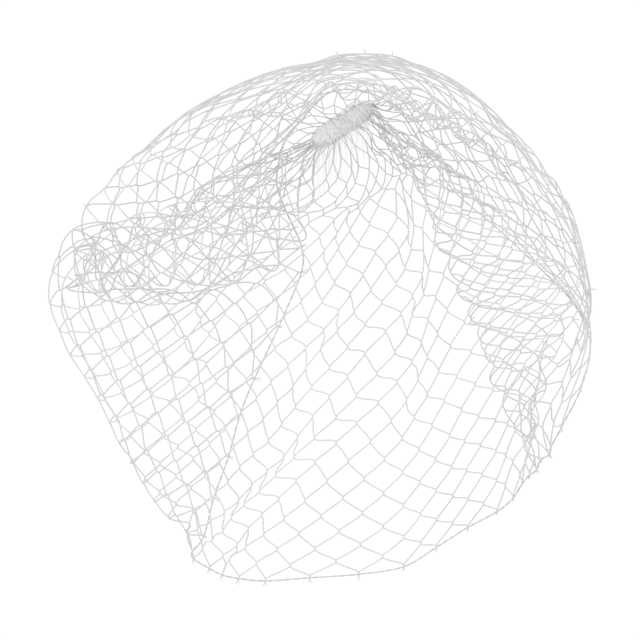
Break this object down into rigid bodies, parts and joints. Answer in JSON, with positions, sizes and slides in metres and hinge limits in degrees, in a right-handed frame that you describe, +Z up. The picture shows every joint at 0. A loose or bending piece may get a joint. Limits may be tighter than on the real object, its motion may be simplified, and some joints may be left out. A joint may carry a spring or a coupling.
{
  "type": "net fascinator",
  "caption": "Face veil of coarse diamond net, gathered onto a hair comb and puffed round it, with a corded hem.",
  "frame": {"origin": "middle of the gathered heading, where the comb pins the veil on", "axes": "+X to the right as seen from the front, +Y back towards the head, +Z up"},
  "size_m": [0.2666, 0.1505, 0.2613],
  "materials": {
    "heading_net": "matt, bunched thread",
    "comb_plastic": "clear milky plastic",
    "net": "smooth stiff thread, pale grey",
    "cord": "smooth doubled thread, pale grey"
  },
  "bodies": {
    "root": {"gathered_heading": "heading_net", "hair_comb": "comb_plastic", "veil_net": "net", "hem_cord": "cord"}
  },
  "joints": []
}
